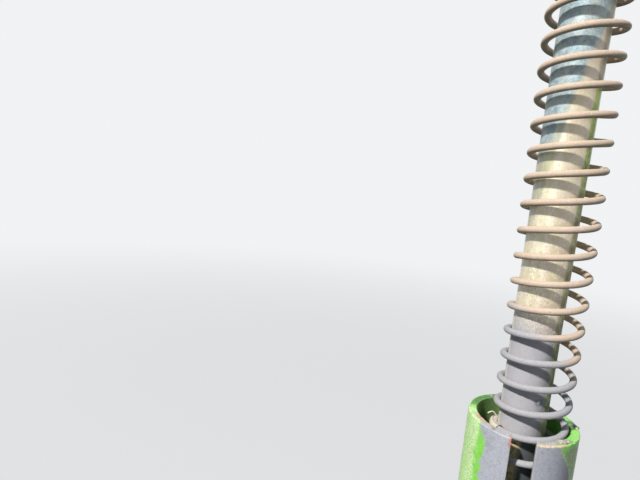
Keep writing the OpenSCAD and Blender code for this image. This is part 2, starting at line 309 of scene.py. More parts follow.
def zinc_rod():
    """The rod tube: bluish zinc darkened by painted shade, cream chromate below it with painted highlights
    and shade, a matt grey coat, a painted green reflection down the right side, and brown inside the guide
    with painted shade.
    """
    g = Paint("zinc_rod")
    height = g.above_rim()
    around = g.round_z()
    turn = g.sideways(ROD_R)
    blotch = g.noise(15, 5, 0.62)
    cloud = g.noise(5, 5, seed=6)
    fine = g.noise(1.3, 4)
    grain = g.noise(0.6, 3)
    streak = g.noise(6, 5, 0.65, g.stretch(g.place, (1, 1, 0.08)))
    scrape = g.noise(2.6, 6, 0.78, g.stretch(g.place, (1, 1, 0.45)), seed=2)

    # Plating: blue at the top, darkened by painted shade, cream below it with painted highlights and
    # painted shade
    shaded_blue_zinc = g.mix(g.step(cloud, 0.35, 0.65), (0.26, 0.36, 0.42), (0.5, 0.63, 0.64))
    shaded_blue_zinc = g.tint(shaded_blue_zinc, g.step(blotch, 0.5, 0.64), 0.45, (0.62, 0.6, 0.52))
    shaded_blue_zinc = g.tint(shaded_blue_zinc, g.step(grain, 0.52, 0.6), 0.55, (0.22, 0.26, 0.31))
    shaded_blue_zinc = g.tint(shaded_blue_zinc, g.step(grain, 0.46, 0.38), 0.55, (0.72, 0.78, 0.78))
    cream = g.mix(blotch, (0.66, 0.58, 0.41), (0.82, 0.74, 0.56))
    # Painted highlight: a near-white band left of the front of the rod, standing for the light's sheen.
    painted_highlight = g.band(around, -50, -36, 4, -14)
    cream = g.tint(cream, painted_highlight, 0.85, (0.93, 0.885, 0.71))
    cream = g.tint(cream, g.step(streak, 0.47, 0.66), 0.55, (0.66, 0.61, 0.3))
    olive = g.times(g.step(streak, 0.42, 0.56), g.step(height, 190, 120))
    cream = g.tint(cream, olive, 0.35, (0.6, 0.63, 0.29))
    # Pinker and darker towards the right: a pink tone of the chromate, partly painted shade on the side
    # turned from the light.
    pink_and_right_shade = g.times(g.step(turn, -25, 30), g.step(g.noise(2.2, 5, 0.75, seed=8), 0.36, 0.62))
    cream = g.tint(cream, pink_and_right_shade, 0.6, (0.74, 0.55, 0.42))
    pink = g.times(g.step(height, 190, 95), g.step(cloud, 0.35, 0.6))
    cream = g.tint(cream, pink, 0.6, (0.74, 0.6, 0.51))
    cream = g.tint(cream, g.step(grain, 0.56, 0.66), 0.6, (0.92, 0.88, 0.78))
    cream = g.tint(cream, g.step(grain, 0.44, 0.36), 0.5, (0.46, 0.47, 0.32))
    cream = g.tint(cream, g.step(scrape, 0.53, 0.66), 0.6, (0.34, 0.31, 0.23))
    cream = g.mix(g.step(fine, 0.6, 0.76), cream, (0.27, 0.24, 0.15))
    spots = g.noise(2.1, 3, seed=31)
    lower = g.step(height, 200, 120)
    cream = g.tint(cream, g.step(spots, 0.57, 0.65), g.blend(lower, 0.15, 0.6), (0.34, 0.33, 0.19))
    # Painted glints: small near-white spots standing for sparkles of light; the line above paints dark
    # pits.
    cream = g.tint(cream, g.step(spots, 0.44, 0.37), g.blend(lower, 0.3, 0.75), (1, 0.98, 0.74))
    shaded_blue_zinc = g.tint(shaded_blue_zinc, g.step(spots, 0.57, 0.65), 0.4, (0.22, 0.26, 0.31))
    # Painted shade: a dull moss tone over the cream at the top left, where a shadow falls.
    top_left_shade = g.plus(turn, g.times(g.minus(272, height), 0.5))
    top_left_shade = g.step(g.shift(top_left_shade, cloud, 20), 5, -5)
    top_left_shade_colour = g.mix(g.step(streak, 0.5, 0.6), (0.3, 0.32, 0.23), (0.52, 0.51, 0.31))
    cream = g.tint(cream, top_left_shade, 0.8, top_left_shade_colour)
    # Where the blue zinc begins: partly the zinc's own tone, partly painted shade, its edge running lower
    # towards the left.
    change = g.shift(height, blotch, 40)
    change = g.minus(change, g.times(g.most(turn, -42), 1.1))
    blue_shade_mask = g.step(change, 258, 284)
    plate = g.mix(blue_shade_mask, cream, shaded_blue_zinc)
    rust = g.times(g.step(g.noise(9, 5, seed=3), 0.6, 0.68), g.step(fine, 0.45, 0.6))
    plate = g.tint(plate, rust, 0.6, (0.2, 0.12, 0.06))

    # Matt grey coat with its speckled border
    coat = g.mix(fine, (0.41, 0.395, 0.425), (0.58, 0.565, 0.6))
    coat = g.tint(coat, g.step(cloud, 0.48, 0.72), 0.4, (0.34, 0.33, 0.355))
    coat = g.mix(g.step(g.noise(0.8, 3, seed=5), 0.63, 0.69), coat, (0.8, 0.79, 0.8))
    # Painted highlight: the coat lighter and yellower on its left side, where the light falls.
    pale = g.band(around, -66, -76, -130, -105)
    coat = g.tint(coat, pale, 0.7, (0.78, 0.77, 0.66))
    border = g.plus(height, g.times(turn, 0.1))
    border = g.plus(border, g.times(g.step(grain, 0.41, 0.59), 18))
    border = g.shift(border, fine, 34)
    border = g.shift(border, cloud, 14)
    coated = g.step(border, 98, 91)

    # Painted green reflection down the right side, painted shade on the coat's right, and a chip in the
    # coat
    mottle = g.noise(2.4, 5, 0.72, g.stretch(g.place, (1, 1, 0.5)), seed=12)
    ragged = g.shift(around, mottle, 26)
    # Painted reflection of green surroundings in a band down the right side: lime low down, dull brown near
    # the top.
    green_reflection = g.times(g.step(ragged, 41, 49), g.step(around, 150, 110))
    above = g.step(g.plus(height, g.times(mottle, 20)), 280, 290)
    # Painted shade: the coat darker on its right side, turned from the light.
    shade = g.times(g.step(turn, 18, 42), coated)
    colour = g.tint(g.mix(coated, plate, coat), shade, 0.45, (0.17, 0.17, 0.18))
    reflection_lime = g.mix(g.step(mottle, 0.42, 0.6), (0.2, 0.34, 0.05), (0.52, 0.7, 0.16))
    reflection_lime = g.mix(g.blend(g.step(height, 238, 256), 0.0, 0.6), reflection_lime, (0.6, 0.8, 0.2))
    reflection_khaki = g.mix(g.step(mottle, 0.4, 0.62), (0.25, 0.29, 0.135), (0.58, 0.6, 0.35))
    reflection_lime = g.mix(g.step(height, 170, 215), reflection_khaki, reflection_lime)
    dull = g.mix(mottle, (0.3, 0.25, 0.15), (0.56, 0.54, 0.42))
    colour = g.tint(colour, green_reflection, g.blend(above, 0.85, 0.6), g.mix(above, reflection_lime, dull))
    chip = at(27, 19, 23)
    colour = g.tint(colour, g.near(chip, 4.5), 0.5, (0.16, 0.16, 0.18))
    colour = g.mix(g.near(chip, 1.7), colour, (0.86, 0.92, 0.92))

    # Inside the guide tube: brown rust, with painted shade on the right, then the finish
    inside = g.step(g.plus(height, g.times(cloud, 10)), -2, -9)
    brown = g.mix(g.step(cloud, 0.38, 0.56), (0.36, 0.3, 0.2), (0.88, 0.71, 0.44))
    # Painted shade: the right part inside the guide near-black, the left part brown rust.
    side = g.step(g.shift(turn, cloud, 40), -10, 6)
    colour = g.mix(inside, colour, g.mix(side, brown, (0.1, 0.11, 0.12)))
    bare = g.minus(1, g.most(coated, inside))
    rough_plate = g.plus(g.blend(blotch, 0.36, 0.52), g.times(fine, 0.14))
    roughness = g.blend(bare, 0.84, rough_plate)
    normal = g.bump(grain, 0.12, 0.35)
    normal = g.bump(scrape, 0.22, 0.45, normal)
    metallic = g.times(bare, g.blend(blue_shade_mask, 0.12, 0.3))
    clear = g.math("SUBTRACT", bare, g.most(blue_shade_mask, green_reflection), clamp=True)
    g.put(g.shader.inputs["Coat Weight"], clear)
    g.shader.inputs["Coat Roughness"].default_value = 0.45
    g.shader.inputs["Coat IOR"].default_value = 2.1
    return g.finish(colour, roughness, metallic, normal, 0.35)


def zinc_plain(name, colour, dull, dirt_amount=0.5):
    """Small plated parts: grey zinc with patches of dirt and a little white bloom."""
    g = Paint(name)
    blotch = g.noise(8, 5, 0.6)
    fine = g.noise(1.2, 4, 0.65)
    shade = g.mix(blotch, tuple(0.72 * c for c in colour), colour)
    shade = g.mix(g.step(fine, 0.58, 0.72), shade, (0.72, 0.71, 0.68))
    dirt = g.step(g.noise(5, 5, seed=2), 0.5, 0.68)
    shade = g.tint(shade, dirt, dirt_amount, (0.2, 0.16, 0.1))
    roughness = g.blend(dirt, g.blend(fine, dull - 0.1, dull + 0.1), 0.85)
    metallic = g.blend(dirt, 0.75, 0.1)
    return g.finish(shade, roughness, metallic, g.bump(fine, 0.2, 0.4))


def spring_wire():
    """The spring: pinkish dust over plated wire, with painted shade on its underside, grey where the coat's
    overspray reached it.
    """
    g = Paint("spring_wire")
    height = g.above_rim()
    across = g.plus(g.times(g.axis(g.place, "X"), 938), g.times(g.axis(g.place, "Y"), 347))
    blotch = g.noise(11, 4, 0.6)
    fine = g.noise(1.1, 4)
    lit = g.mix(blotch, (0.61, 0.46, 0.35), (0.75, 0.59, 0.47))
    patchy = g.noise(3, 4, seed=41)
    lit = g.tint(lit, g.step(patchy, 0.5, 0.62), 0.5, (0.56, 0.51, 0.36))
    lit = g.tint(lit, g.step(patchy, 0.46, 0.38), 0.4, (0.8, 0.58, 0.5))
    lit = g.mix(g.step(fine, 0.54, 0.7), lit, (0.44, 0.36, 0.26))
    lit = g.tint(lit, g.step(fine, 0.42, 0.32), 0.7, (0.92, 0.8, 0.66))
    # Painted shade: a darker copy of the dust colour on the wire's underside, mixed by how far each face
    # turns up; the top also carries the dust.
    under = g.mix(fine, (0.2, 0.185, 0.12), (0.38, 0.34, 0.24))
    dust = g.step(g.plus(g.axis(g.normal, "Z"), g.times(blotch, 0.6)), -0.75, 0.1)
    beige = g.mix(dust, under, lit)
    grey = g.mix(fine, (0.38, 0.37, 0.395), (0.53, 0.52, 0.55))
    grey = g.mix(g.step(g.noise(0.8, 3, seed=5), 0.62, 0.68), grey, (0.78, 0.77, 0.77))
    grey = g.tint(grey, g.step(fine, 0.46, 0.36), 0.5, (0.26, 0.25, 0.27))
    border = g.plus(height, g.times(across, 0.9))
    border = g.shift(border, fine, 34)
    coated = g.step(border, 90, 62)
    colour = g.mix(coated, beige, grey)
    rust = g.step(g.noise(6, 5, seed=7), 0.64, 0.72)
    colour = g.tint(colour, rust, 0.45, (0.22, 0.12, 0.06))
    normal = g.bump(fine, 0.18, 0.55)
    return g.finish(colour, g.blend(coated, 0.74, 0.86), 0.0, normal)


def guide_paint():
    """The guide tube: green paint, bleached at the left, filmed over at the right, worn at the slot."""
    g = Paint("guide_paint")
    height = g.above_rim()
    around = g.round_z()
    radius = g.off_axis()
    blotch = g.noise(16, 5, 0.6)
    fine = g.noise(1, 4)
    mottle = g.noise(3.2, 5, 0.72, seed=11)
    ragged = g.noise(6, 6, seed=4)
    outside = g.step(radius, 42.9, 43.6)
    inside = g.step(radius, 38.3, 37.6)
    top = g.times(g.step(height, -0.9, -0.3), g.minus(1, inside))

    # Paint: bleached at the left, filmed over at the right, with painted shade at the rim's back left,
    # dirty in the bore
    low = g.step(g.shift(height, ragged, 120), -110, -230)
    green = g.mix(blotch, g.mix(low, (0.19, 0.62, 0.06), (0.12, 0.38, 0.05)),
                  g.mix(low, (0.3, 0.8, 0.1), (0.2, 0.54, 0.08)))
    green = g.tint(green, g.step(mottle, 0.55, 0.7), 0.35, (0.12, 0.38, 0.05))
    # Painted shade: the rim's top face darker and duller at the back left, where a shadow falls.
    dull = g.times(g.step(around, -84, -104), g.times(top, 0.85))
    green = g.mix(dull, green, g.mix(g.step(mottle, 0.5, 0.64), (0.06, 0.17, 0.06), (0.3, 0.4, 0.24)))
    left = g.shift(g.minus(g.times(around, -1), 48), ragged, -24)
    bleach = g.times(g.step(left, -1.5, 5), g.step(around, -170, -115))
    bleach = g.times(bleach, g.step(mottle, 0.26, 0.5))
    grit = g.step(g.noise(0.9, 3, 0.75, seed=21), 0.45, 0.55)
    pale = g.mix(grit, (0.38, 0.76, 0.18), (0.92, 1, 0.7))
    chalky = g.times(top, g.step(around, -100, -78), 0.9)
    green = g.tint(green, bleach, g.most(g.times(outside, 0.9), chalky), pale)
    bent = g.shift(around, ragged, 40)
    film = g.band(bent, 28, 40, 170, 110)
    film = g.times(film, g.blend(low, 1, 0.45))
    film = g.times(film, g.step(g.shift(height, ragged, 20), -1, -9))
    film = g.times(film, outside, g.blend(g.step(mottle, 0.44, 0.54), 0.55, 1))
    dim = g.mix(g.step(fine, 0.4, 0.6), (0.17, 0.24, 0.08), (0.36, 0.43, 0.2))
    dim = g.tint(dim, g.step(g.noise(2.2, 4, seed=17), 0.53, 0.62), 0.7, (0.5, 0.54, 0.42))
    green = g.mix(film, green, dim)
    dirt = g.times(inside, g.blend(g.step(mottle, 0.35, 0.65), 0.6, 0.85))
    dirt = g.times(dirt, g.blend(g.step(around, -10, 60), 1, 0.6))
    green = g.mix(dirt, green, (0.16, 0.18, 0.11))

    # Bare steel on both sides of the slot
    spread = g.times(g.step(height, 2, -28), g.step(around, 0, 30), 21)
    narrow = g.times(g.step(height, -3, -13), g.step(around, 0, -30), 8)
    reach = g.shift(g.math("ABSOLUTE", around), ragged, -26)
    reach = g.minus(reach, g.times(g.step(around, 5, -5), 12.5))
    reach = g.plus(g.minus(reach, spread), narrow)
    tail = g.shift(height, ragged, 90)
    worn = g.times(g.step(reach, 36.4, 35.2), g.step(tail, -210, -195))
    worn = g.times(worn, g.minus(1, inside))
    rind = g.times(g.step(reach, 38.4, 37.2), g.times(g.step(around, 10, 20), 0.75))
    rind = g.times(rind, g.step(tail, -214, -199))
    green = g.tint(green, rind, outside, (0.52, 0.66, 0.36))
    bare = g.mix(g.step(fine, 0.36, 0.64), (0.39, 0.405, 0.465), (0.53, 0.545, 0.615))
    bare = g.tint(bare, g.step(mottle, 0.52, 0.68), 0.6, (0.27, 0.265, 0.3))
    bare = g.tint(bare, top, 0.5, (0.62, 0.61, 0.63))
    # Painted shade: the bare patch darker towards its right, turned from the light.
    bare = g.tint(bare, g.step(around, 30, 54), 0.6, (0.19, 0.21, 0.21))
    colour = g.mix(worn, green, bare)

    # Primer and lines at the rim and the slot, flakes, specks and grime
    band = g.shift(radius, mottle, 2.4)
    inner_edge = g.times(g.step(band, 41.8, 41.0), g.step(height, -1.6, -0.8))
    primer = g.times(inner_edge, g.band(around, -42, -50, -74, -64))
    colour = g.mix(primer, colour, g.mix(g.step(mottle, 0.4, 0.6), (0.78, 0.38, 0.29), (0.68, 0.5, 0.42)))
    thin = g.times(g.step(radius, 38.5, 38.1), g.step(height, -1.2, -0.5))
    thin = g.times(thin, g.band(around, -9, -13, -55, -48))
    colour = g.tint(colour, thin, 0.8, (0.7, 0.52, 0.4))
    outer_edge = g.times(g.step(radius, 42.5, 43.0), g.step(height, -1.5, -1))
    line = g.times(outer_edge, g.band(around, 8, 12, 52, 42))
    line = g.times(line, g.step(mottle, 0.32, 0.42))
    colour = g.mix(line, colour, g.mix(g.step(mottle, 0.4, 0.6), (0.72, 0.52, 0.4), (0.8, 0.68, 0.44)))
    cut_x = g.times(g.math("ABSOLUTE", g.axis(g.place, "X")), 1000)
    cut_face = g.times(g.step(cut_x, 9.75, 9.35), g.step(g.axis(g.place, "Y"), -0.034, -0.036))
    slot_end = (SLOT_END_Z - RIM_Z) * 1000
    cut_face = g.times(cut_face, g.step(height, slot_end - 1, slot_end))
    colour = g.tint(colour, cut_face, g.blend(mottle, 0.4, 1.1), (0.52, 0.5, 0.44))
    red = g.times(g.band(around, -10, -12, -15, -13.3), g.step(g.shift(height, ragged, 6), -9, -6.5))
    colour = g.tint(colour, red, 0.85, (0.66, 0.26, 0.22))
    flake = g.times(g.step(height, -1.6, -0.4), g.step(g.noise(2.6, 4, 0.6, seed=9), 0.62, 0.66))
    front = g.step(g.math("ABSOLUTE", around), 110, 90)
    colour = g.tint(colour, flake, front, (0.8, 0.76, 0.72))
    specks = g.step(g.noise(0.75, 3, seed=15), 0.61, 0.66)
    colour = g.tint(colour, specks, g.times(outside, 0.75), (0.8, 0.8, 0.8))
    grime = g.times(g.step(g.noise(11, 5, seed=6), 0.52, 0.72), 0.35)
    colour = g.mix(grime, colour, (0.12, 0.11, 0.065))
    roughness = g.blend(worn, g.blend(bleach, 0.42, 0.72), 0.68)
    peel = g.bump(worn, 0.3, -0.7)
    normal = g.bump(fine, 0.16, 0.45, peel)
    return g.finish(colour, roughness, 0.0, normal)


def plain_paint(name, light, dark):
    """Machine paint on a welded piece: dusty on top faces, streaked, chipped and rusty along edges."""
    g = Paint(name)
    blotch = g.noise(20, 5, 0.6)
    fine = g.noise(1.2, 4)
    mottle = g.noise(4, 5, 0.72, seed=3)
    ragged = g.noise(6, 6, seed=1)
    colour = g.mix(g.step(blotch, 0.36, 0.64), dark, light)
    colour = g.tint(colour, g.step(mottle, 0.5, 0.62), 0.4, dark)
    colour = g.tint(colour, g.step(fine, 0.54, 0.66), 0.25, (0.36, 0.46, 0.24))
    top = g.step(g.axis(g.normal, "Z"), 0.4, 0.95)
    dust = g.plus(g.times(top, 0.42), g.times(g.step(mottle, 0.42, 0.66), 0.22))
    dust = g.times(dust, g.blend(g.step(blotch, 0.35, 0.65), 0.5, 1.4))
    colour = g.mix(dust, colour, g.mix(fine, (0.34, 0.3, 0.21), (0.5, 0.44, 0.33)))
    runs = g.step(g.noise(7, 5, 0.65, g.stretch(g.place, (1, 1, 0.1)), seed=5), 0.54, 0.68)
    colour = g.tint(colour, runs, 0.45, (0.1, 0.09, 0.05))
    wear = g.times(g.edge(2.2), g.step(ragged, 0.44, 0.54))
    spot = g.noise(4, 5, 0.72, seed=8)
    wear = g.most(wear, g.step(spot, 0.655, 0.675))
    rust = g.mix(g.step(fine, 0.44, 0.58), (0.2, 0.085, 0.04), (0.38, 0.34, 0.29))
    colour = g.tint(colour, wear, 0.8, rust)
    normal = g.bump(g.noise(2.5, 3, 0.5), 0.15, 0.4)
    normal = g.bump(wear, 0.15, -0.5, normal)
    roughness = g.blend(g.most(dust, wear), 0.42, 0.8)
    return g.finish(colour, roughness, 0.0, g.bump(fine, 0.1, 0.35, normal))


def bronze():
    g = Paint("bush_bronze")
    blotch = g.noise(5, 5, 0.6)
    shade = g.mix(blotch, (0.3, 0.19, 0.08), (0.55, 0.39, 0.19))
    grease = g.step(g.noise(7, 4, 0.6, seed=2), 0.5, 0.62)
    shade = g.tint(shade, grease, 0.7, (0.07, 0.05, 0.03))
    return g.finish(shade, g.blend(grease, 0.42, 0.28), 0.7, g.bump(blotch, 0.1, 0.3))


def black_plastic():
    g = Paint("block_plastic")
    fine = g.noise(1.5, 4)
    scuff = g.step(g.noise(10, 5, 0.7, g.stretch(g.place, (1, 1, 0.15))), 0.5, 0.66)
    shade = g.mix(g.times(scuff, 0.6), (0.025, 0.025, 0.027), (0.12, 0.115, 0.11))
    return g.finish(shade, g.blend(scuff, 0.5, 0.7), 0.0, g.bump(fine, 0.1, 0.3))


def straw():
    g = Paint("straw")
    grain = g.noise(1.2, 4)
    shade = g.mix(grain, (0.66, 0.55, 0.46), (0.95, 0.86, 0.72))
    return g.finish(shade, 0.75, 0.0, g.bump(grain, 0.1, 0.4))


def crumb():
    g = Paint("crumb")
    grain = g.noise(0.6, 3)
    kind = g.step(g.noise(7, 1, 0.5), 0.42, 0.58)
    shade = g.mix(kind, g.mix(grain, (0.3, 0.28, 0.25), (0.56, 0.52, 0.47)), (0.6, 0.55, 0.48))
    return g.finish(shade, 0.85, 0.0, g.bump(grain, 0.1, 0.5))


MATERIALS = {
    "rod_zinc": zinc_rod(),
    "pin_zinc": zinc_plain("pin_zinc", (0.56, 0.56, 0.53), 0.42),
    "weld_zinc": zinc_plain("weld_zinc", (0.30, 0.31, 0.31), 0.6, 0.8),
    "spring_wire": spring_wire(),
    "guide_paint": guide_paint(),
    "bracket_paint": plain_paint("bracket_paint", (0.075, 0.26, 0.055), (0.045, 0.17, 0.035)),
    "guide_plain": plain_paint("guide_plain", (0.16, 0.46, 0.08), (0.10, 0.34, 0.05)),
    "bush_bronze": bronze(),
    "block_plastic": black_plastic(),
    "straw": straw(),
    "crumb": crumb(),
}


def all_round(count):
    """Angles in equal steps once round, in radians."""
    return [2 * pi * k / count for k in range(count)]


def new_mesh(name, points, faces):
    mesh = bpy.data.meshes.new(name)
    mesh.from_pydata(points, [], faces)
    return mesh


def add_object(name, data):
    obj = bpy.data.objects.new(name, data)
    bpy.context.scene.collection.objects.link(obj)
    return obj


def piece(name, points, faces, body, slot_name, material, replaced=(), sharp=35):
    """A mesh piece that rides on a body, shaded smooth except across angles over sharp degrees."""
    return finish_piece(name, new_mesh(name, points, faces), body, slot_name, material, replaced, sharp)


def finish_piece(name, mesh, body, slot_name, material, replaced, sharp=35):
    mesh.validate()
    work = bmesh.new()
    work.from_mesh(mesh)
    bmesh.ops.recalc_face_normals(work, faces=work.faces)
    work.to_mesh(mesh)
    work.free()
    mesh.polygons.foreach_set("use_smooth", [True] * len(mesh.polygons))
    mesh.set_sharp_from_angle(angle=radians(sharp))
    mesh.materials.clear()
    mesh.materials.append(MATERIALS[material])
    obj = add_object(name, mesh)
    if replaced:
        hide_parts(*replaced)
    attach(obj, body)
    return obj


def tube_faces(rings, sides, closed=False):
    """Quads between successive rings of a sweep, with a cap at each end unless it is closed."""
    faces = []
    for i in range(rings if closed else rings - 1):
        a = i * sides
        b = (i + 1) % rings * sides
        for k in range(sides):
            n = (k + 1) % sides
            faces.append((a + k, b + k, b + n, a + n))
    if not closed:
        faces.append(tuple(range(sides)))
        faces.append(tuple((rings - 1) * sides + k for k in reversed(range(sides))))
    return faces


def sweep(path, radius, sides, closed=False):
    """Points of a round sweep along a path, without twist. radius may be a function of the index."""
    points = []
    side = None
    count = len(path)
    for i, p in enumerate(path):
        ahead = path[(i + 1) % count] if closed or i < count - 1 else p
        behind = path[i - 1] if closed or i > 0 else p
        along = (ahead - behind).normalized()
        if side is None:
            side = along.orthogonal()
        side = (side - along * side.dot(along)).normalized()
        up = along.cross(side)
        r = radius(i) if callable(radius) else radius
        points += [p + (side * cos(t) + up * sin(t)) * r for t in all_round(sides)]
    return points


def rise(turns, active):
    """How far the wire climbs in some turns from its tip, where active is the pitch of the open turns."""
    if turns < 1:
        open_turns = 0.0
    elif turns < 1 + RAMP_TURNS:
        open_turns = (turns - 1) ** 2 / (2 * RAMP_TURNS)
    else:
        open_turns = turns - 1 - RAMP_TURNS / 2
    return CLOSED_PITCH * turns + (active - CLOSED_PITCH) * open_turns


def wire_point(turns, out=0.0, up=0.0):
    """The wire's centre after some turns from its lower tip, or a point beside it, outwards and upwards."""
    ground = WIRE_R / 2
    active = CLOSED_PITCH + (COIL_HIGH_Z - COIL_LOW_Z + 2 * ground - CLOSED_PITCH * COIL_TURNS) / (
        COIL_TURNS - 2 - RAMP_TURNS)
    if turns < COIL_TURNS / 2:
        z = COIL_LOW_Z - ground + rise(turns, active)
    else:
        z = COIL_HIGH_Z + ground - rise(COIL_TURNS - turns, active)
    share = min(1, max(0, (COIL_HIGH_Z - z) / LEAN_RUN))
    lean = COIL_LEAN * sin(pi / 2 * share) ** 1.5
    angle = COIL_START + 2 * pi * turns
    reach = COIL_R + out
    return Vector((lean * cos(COIL_LEAN_DIR) + reach * cos(angle),
                   lean * sin(COIL_LEAN_DIR) + reach * sin(angle), z + up))


def coil_spring():
    """The spring's wire in its true round section, ground flat on both seats, with its sideways lean."""
    steps = round(COIL_TURNS * TURN_STEPS)
    points = []
    for i in range(steps + 1):
        for t in all_round(WIRE_SIDES):
            p = wire_point(COIL_TURNS * i / steps, WIRE_R * cos(t), WIRE_R * sin(t))
            p.z = min(COIL_HIGH_Z, max(COIL_LOW_Z, p.z))
            points.append(p)
    obj = piece("spring", points, tube_faces(steps + 1, WIRE_SIDES), "rod", "spring_wire", "spring_wire",
                ("coil_spring",), 60)
    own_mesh(obj)


def bevelled(node, body, slot_name, material):
    """A copy of a CAD node with its sharp edges rounded, which stands in for the node."""
    width = 0.6 * MM
    mesh = frame["nodes"][node].data.copy()
    work = bmesh.new()
    work.from_mesh(mesh)
    bmesh.ops.remove_doubles(work, verts=work.verts, dist=1e-6)
    bmesh.ops.dissolve_limit(work, angle_limit=radians(1), verts=work.verts, edges=work.edges)
    hard = [e for e in work.edges if len(e.link_faces) == 2 and e.calc_face_angle(0) > radians(32)]
    bmesh.ops.bevel(work, geom=hard, offset=width, segments=2, profile=0.5, affect="EDGES",
                    clamp_overlap=True)
    low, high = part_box(node)
    for corner in work.verts:
        corner.co = [min(max(corner.co[i], low[i]), high[i]) for i in range(3)]
    work.to_mesh(mesh)
    work.free()
    obj = finish_piece("dressed_" + node, mesh, body, slot_name, material, (node,))
    modifier = obj.modifiers.new("flat_faces", "WEIGHTED_NORMAL")
    modifier.keep_sharp = True
    seen = obj.evaluated_get(bpy.context.evaluated_depsgraph_get())
    smooth = bpy.data.meshes.new_from_object(seen)
    obj.modifiers.clear()
    obj.data = smooth


def guide_tube():
    """The guide tube with its slot: rounded and nicked rim, softened slot edges."""
    # Columns round from one edge of the slot to the other, closer near the edges
    columns = 400
    rows = 7
    run = 2 * pi * GUIDE_R - 2 * SLOT_HALF
    near = [0.0, 0.45 * MM / run, 1.1 * MM / run]
    inner_share = [near[-1] + (1 - 2 * near[-1]) * j / (columns - 5) for j in range(1, columns - 5)]
    share = near + inner_share + [1 - s for s in reversed(near)]
    outer_wear = 1.6 * MM
    inner_wear = 0.8 * MM
    edge_wear = 0.3 * MM
    nick_mm = 1.5
    nick_reach = 3 * MM
    rough = 0.08 * MM

    # Each level's height, half width of the slot and depth under the rim
    deep = [0, 0.05, 0.15, 0.3, 0.5, 0.75, 1.05, 1.4, 1.8, 2.4, 3.2, 4.4, 6, 9, 14, 24, 40, 70, 110, 160,
            220, 280, 330]
    levels = [(RIM_Z - d * MM, SLOT_HALF, d * MM) for d in deep]
    arc_steps = 12
    for i in range(arc_steps + 1):
        t = pi / 2 * i / arc_steps
        levels.append((SLOT_END_Z - SLOT_HALF * sin(t), SLOT_HALF * cos(t), 1.0))
    levels += [(z, 0.0, 1.0) for z in (SLOT_END_Z - 12 * MM, GUIDE_END_Z + 1 * MM, GUIDE_END_Z)]

    def rounding(radius, depth):
        return radius - sqrt(radius ** 2 - max(0, radius - depth) ** 2)

    def place(j, k, half, depth, z):
        """The point of column j and row k, row 0 outside and the last row in the bore."""
        radius = GUIDE_R + (GUIDE_BORE_R - GUIDE_R) * k / rows
        edge = asin(min(1, half / radius))
        turn = edge + (2 * pi - 2 * edge) * share[j]
        wear = max(0.4, 0.75 + 0.9 * noise.noise(Vector((sin(turn), cos(turn), 0.3)) * 9))
        lumps = noise.noise(Vector((sin(turn) * 14, cos(turn) * 14, k * 0.35)))
        nick = max(0, lumps - 0.28) * nick_mm * MM
        fade = max(0, 1 - depth / nick_reach)
        soft = min(edge_wear, half / 8) if j in (0, columns - 1) else 0
        if k == 0:
            radius -= rounding(outer_wear * wear, depth) + soft + 0.5 * nick * fade
        if k == rows:
            radius += rounding(inner_wear * wear, depth) + soft
        low = z - nick * fade - rough * fade * abs(noise.noise(Vector((turn * 40, k, 0))))
        return Vector((radius * sin(turn), -radius * cos(turn), low))

    # Walls: each level once round the outside, the slot's faces and the bore
    last = columns - 1
    loop = [(j, 0) for j in range(columns)] + [(last, k) for k in range(1, rows)]
    loop += [(last - j, rows) for j in range(columns)] + [(0, rows - k) for k in range(1, rows)]
    count = len(loop)
    points = [place(j, k, half, depth, z) for z, half, depth in levels for j, k in loop]
    faces = []
    for i in range(len(levels) - 1):
        closed = levels[i][1] < 1e-6
        for m in range(count):
            n = (m + 1) % count
            across = loop[m][0] == loop[n][0]
            if not (closed and across):
                faces.append((i * count + m, i * count + n, (i + 1) * count + n, (i + 1) * count + m))

    # The rim's face, with points between its two edges, and the low end's face
    index = {jk: m for m, jk in enumerate(loop)}
    top_z, half, depth = levels[0]
    for k in range(1, rows):
        for j in range(1, last):
            index[j, k] = len(points)
            points.append(place(j, k, half, depth, top_z))
    for j in range(last):
        for k in range(rows):
            faces.append((index[j, k], index[j + 1, k], index[j + 1, k + 1], index[j, k + 1]))
    base = (len(levels) - 1) * count
    outer = [base + j for j in range(columns)]
    inner = [base + loop.index((j, rows)) for j in range(columns)]
    for j in range(last):
        faces.append((outer[j], inner[j], inner[j + 1], outer[j + 1]))

    mesh = new_mesh("worn_guide_tube", points, faces)
    work = bmesh.new()
    work.from_mesh(mesh)
    bmesh.ops.remove_doubles(work, verts=work.verts, dist=2e-6)
    work.to_mesh(mesh)
    work.free()
    finish_piece("worn_guide_tube", mesh, "guide", "guide_paint", "guide_paint", ("guide_tube",), 62)


def resample(path, step, closed=False):
    """Points at an even spacing of about step along a polyline."""
    ends = path + [path[0]] if closed else path
    lengths = [(b - a).length for a, b in zip(ends, ends[1:])]
    total = sum(lengths)
    count = max(4, round(total / step))
    points = []
    i = 0
    gone = 0.0
    for n in range(count if closed else count + 1):
        reached = total * n / count
        while i < len(lengths) - 1 and gone + lengths[i] < reached:
            gone += lengths[i]
            i += 1
        points.append(ends[i].lerp(ends[i + 1], min(1, (reached - gone) / lengths[i])))
    return points


def bead(name, path, radius, body, slot_name, material, closed=True, seed=0):
    """A weld bead along a path: overlapping ripples, a little uneven, half sunk in what it joins."""
    step = 0.45 * MM
    ripple = 1.9 * MM
    sides = 10
    spots = resample(path, step, closed)

    def size(i):
        drift = noise.noise(spots[i] * 150 + Vector((seed, 0, 0)))
        wave = sin(2 * pi * i * step / ripple + 5 * drift)
        return radius * (0.98 + 0.045 * wave + 0.2 * drift)

    faces = tube_faces(len(spots), sides, closed)
    piece(name, sweep(spots, size, sides, closed), faces, body, slot_name, material, sharp=80)


def circle(radius, z):
    """A ring of points round the strut's axis."""
    return [Vector((radius * cos(t), radius * sin(t), z)) for t in all_round(180)]


